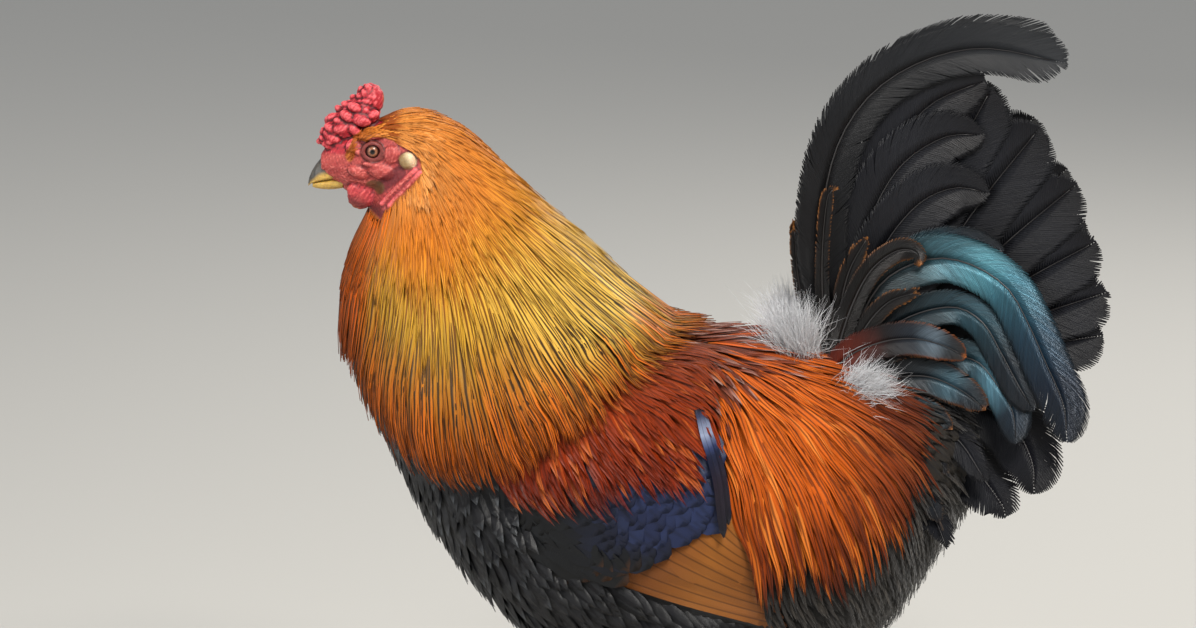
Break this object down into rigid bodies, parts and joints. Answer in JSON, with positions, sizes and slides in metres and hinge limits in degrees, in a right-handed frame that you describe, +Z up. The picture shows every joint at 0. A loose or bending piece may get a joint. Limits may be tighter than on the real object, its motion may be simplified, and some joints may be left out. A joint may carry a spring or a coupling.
{
  "type": "chicken",
  "caption": "Standing rooster, still model at life size: rose comb, full hackle and saddle, arched black tail, clean legs with spurs.",
  "frame": {"origin": "on the floor, under the middle of the model's length and breadth", "axes": "-X the way the bird faces, -Y its left side, +Z up"},
  "size_m": [0.4915, 0.1966, 0.5395],
  "materials": {
    "head_skin": "bare wrinkled skin with short feathers behind",
    "comb_skin": "finely pebbled, slightly waxy skin",
    "earlobe_skin": "smooth pale skin",
    "hackle": "glossy pointed feathers, gold with dark shafts",
    "body_plumage": "close black feathers with a grey sheen",
    "saddle": "long glossy orange-red feathers",
    "wing": "maroon bow, blue-black bar and tan bay",
    "tail_black": "matt black vanes",
    "tail_green": "black vanes with a blue-green gloss",
    "eye": "wet, clear surface over a brown iris",
    "bill": "horn, dark above and yellow at the edge",
    "leg_scales": "overlapping horny scales"
  },
  "bodies": {
    "root": {"bill_lower": "bill", "bill_upper": "bill", "comb": "comb_skin", "earlobe_left": "earlobe_skin", "earlobe_right": "earlobe_skin", "eye_left": "eye", "eye_right": "eye", "foot_left": "leg_scales", "foot_right": "leg_scales", "head": "head_skin", "neck": "hackle", "saddle": "saddle", "shank_left": "leg_scales", "shank_right": "leg_scales", "tail_arch_1_left": "tail_green", "tail_arch_1_right": "tail_green", "tail_arch_2_left": "tail_green", "tail_arch_2_right": "tail_green", "tail_arch_3_left": "tail_green", "tail_arch_3_right": "tail_green", "tail_covert_1_left": "tail_green", "tail_covert_1_right": "tail_green", "tail_covert_2_left": "tail_green", "tail_covert_2_right": "tail_green", "tail_fan_1_left": "tail_black", "tail_fan_1_right": "tail_black", "tail_fan_2_left": "tail_black", "tail_fan_2_right": "tail_black", "tail_fan_3_left": "tail_black", "tail_fan_3_right": "tail_black", "tail_fan_4_left": "tail_black", "tail_fan_4_right": "tail_black", "tail_fan_5_left": "tail_black", "tail_fan_5_right": "tail_black", "tail_fan_6_left": "tail_black", "tail_fan_6_right": "tail_black", "tail_front_left": "tail_black", "tail_front_right": "tail_black", "tail_hook_left": "tail_green", "tail_hook_right": "tail_green", "tail_sickle_left": "tail_black", "tail_sickle_right": "tail_black", "thigh_left": "body_plumage", "thigh_right": "body_plumage", "trunk": "body_plumage", "undertail_1_left": "tail_black", "undertail_1_right": "tail_black", "undertail_2_left": "tail_black", "undertail_2_right": "tail_black", "wattle_left": "comb_skin", "wattle_right": "comb_skin", "wing_left": "wing", "wing_right": "wing"}
  },
  "joints": []
}
